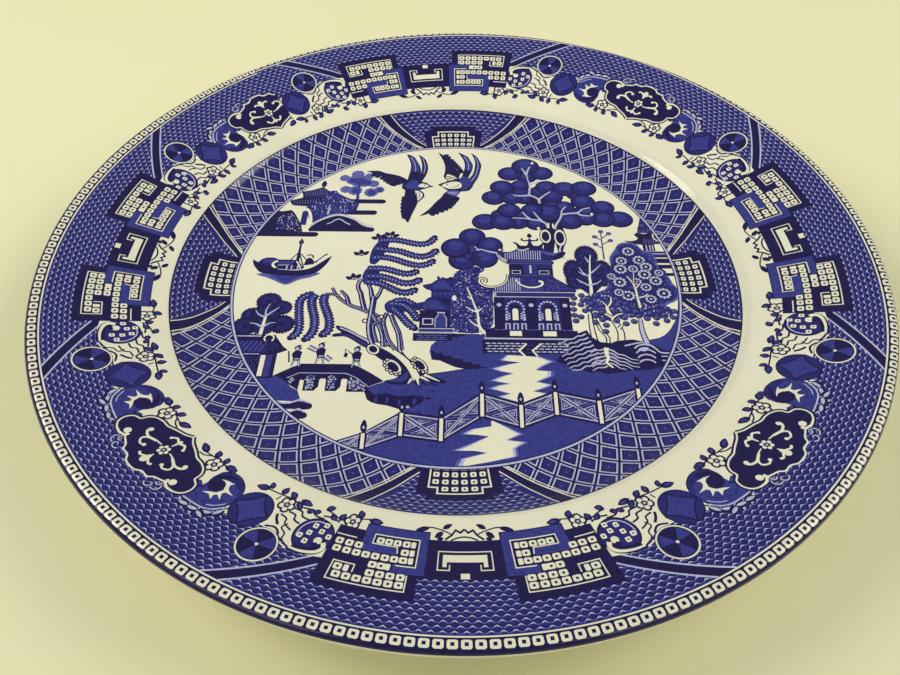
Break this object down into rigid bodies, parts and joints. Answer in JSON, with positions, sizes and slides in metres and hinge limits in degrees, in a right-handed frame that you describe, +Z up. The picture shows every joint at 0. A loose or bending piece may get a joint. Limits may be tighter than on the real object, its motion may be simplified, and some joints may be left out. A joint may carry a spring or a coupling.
{
  "type": "dinner plate",
  "caption": "Round earthenware dinner plate with a broad sloping rim, shallow well and foot ring, printed in cobalt blue with a landscape, a trellis border and a fretwork rim border.",
  "frame": {"origin": "centre of the plane that the foot ring stands on", "axes": "+Z up along the plate's axis, out of the printed front; +Y towards the top of the printed scene"},
  "size_m": [0.254, 0.254, 0.0256],
  "materials": {
    "biscuit": "matt fired earthenware, cream white",
    "centre_print": "cobalt blue underglaze transfer print, mid blue and navy on white",
    "well_print": "cobalt blue underglaze transfer print, mid blue and navy with fine white lines",
    "rim_print": "cobalt blue underglaze transfer print, mid blue and navy with fine white lines",
    "glaze": "clear gloss glaze with a faint cream tint"
  },
  "bodies": {
    "root": {"biscuit_body": "biscuit", "centre_scene_print": "centre_print", "well_border_print": "well_print", "rim_border_print": "rim_print", "main_glaze": "glaze", "base_glaze": "glaze"}
  },
  "joints": []
}
